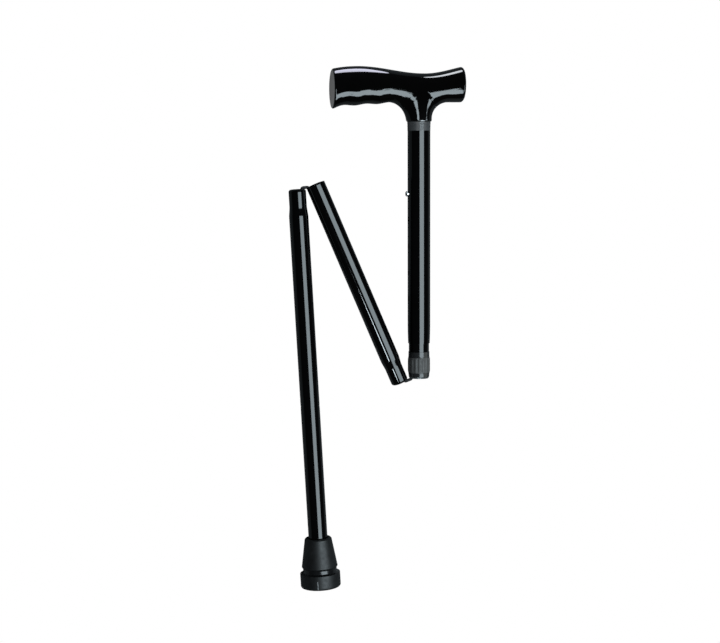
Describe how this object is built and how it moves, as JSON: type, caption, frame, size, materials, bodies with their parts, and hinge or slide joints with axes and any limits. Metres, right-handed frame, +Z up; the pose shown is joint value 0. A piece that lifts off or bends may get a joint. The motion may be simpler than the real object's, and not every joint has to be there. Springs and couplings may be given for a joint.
{
  "type": "folding cane",
  "caption": "Folding walking cane with a derby handle, push-button height adjustment, elastic-cord tube sections and a flared rubber tip, lying half folded.",
  "frame": {"origin": "on the surface the cane lies on, under the middle of its outline", "axes": "+Y along the handle section towards the handle, +X towards the handle's short arm, +Z up"},
  "size_m": [0.1732, 0.5057, 0.0391],
  "materials": {
    "gloss_black": "gloss moulded plastic",
    "black_tube": "gloss black coated tube",
    "grey_plastic": "satin moulded plastic",
    "black_plastic": "moulded nylon",
    "steel": "plated",
    "bright_steel": "polished",
    "cord": "braided elastic cord",
    "rubber": "matte moulded rubber"
  },
  "bodies": {
    "handle_section": {"handle_grip": "gloss_black", "handle_collar": "grey_plastic", "handle_screw": "steel", "screw_washer": "steel", "outer_tube": "black_tube", "collet_bush": "black_plastic"},
    "nut": {"lock_nut": "grey_plastic"},
    "inner_section": {"inner_tube": "black_tube", "inner_guide": "black_plastic", "button_spring": "steel", "cord_plug_top": "black_plastic", "cord_knot_top": "cord", "cord_upper": "cord"},
    "snap_button": {"push_button": "bright_steel"},
    "upper_link": {"cord_bend_upper": "cord"},
    "middle_section": {"middle_tube": "black_tube", "cord_middle": "cord"},
    "lower_link": {"cord_bend_lower": "cord"},
    "lower_section": {"lower_tube": "black_tube", "cord_lower": "cord"},
    "bottom_section": {"bottom_tube": "black_tube", "cord_bottom": "cord", "cord_plug_bottom": "black_plastic", "cord_knot_bottom": "cord", "rubber_tip": "rubber", "tip_washer": "steel"}
  },
  "joints": [
    {"name": "nut_turn", "type": "hinge", "parent": "handle_section", "child": "nut", "pos_m": [0.04217, -0.03648, 0.01955], "axis": [0, 1, 0], "range_deg": [0, 270]},
    {"name": "height_slide", "type": "slide", "parent": "handle_section", "child": "inner_section", "axis": [0, -1, 0], "range_m": [0, 0.1016], "deforming": ["push_button", "button_spring"]},
    {"name": "button_press", "type": "slide", "parent": "inner_section", "child": "snap_button", "axis": [1, 0, 0], "range_m": [0, 0.0034], "stiffness_N_per_m": 2000, "deforming": ["button_spring"]},
    {"name": "upper_fold", "type": "hinge", "parent": "inner_section", "child": "upper_link", "pos_m": [0.03227, -0.04973, 0.01955], "axis": [0, 0, 1], "range_deg": [-22.3, 156.7], "deforming": ["cord_bend_upper"]},
    {"name": "upper_seat", "type": "slide", "parent": "upper_link", "child": "middle_section", "axis": [0.3955, -0.9184, 0], "range_m": [0, 0.0238], "deforming": ["cord_bend_upper"]},
    {"name": "lower_fold", "type": "hinge", "parent": "middle_section", "child": "lower_link", "pos_m": [-0.06906, 0.13702, 0.01955], "axis": [0, 0, -1], "range_deg": [-19.2, 159.8], "deforming": ["cord_bend_lower"]},
    {"name": "lower_seat", "type": "slide", "parent": "lower_link", "child": "lower_section", "axis": [-0.0541, 0.9985, 0], "range_m": [0, 0.0238], "deforming": ["cord_bend_lower"]},
    {"name": "tip_pull", "type": "slide", "parent": "lower_section", "child": "bottom_section", "axis": [-0.0541, 0.9985, 0], "range_m": [-0.022, 0]}
  ]
}
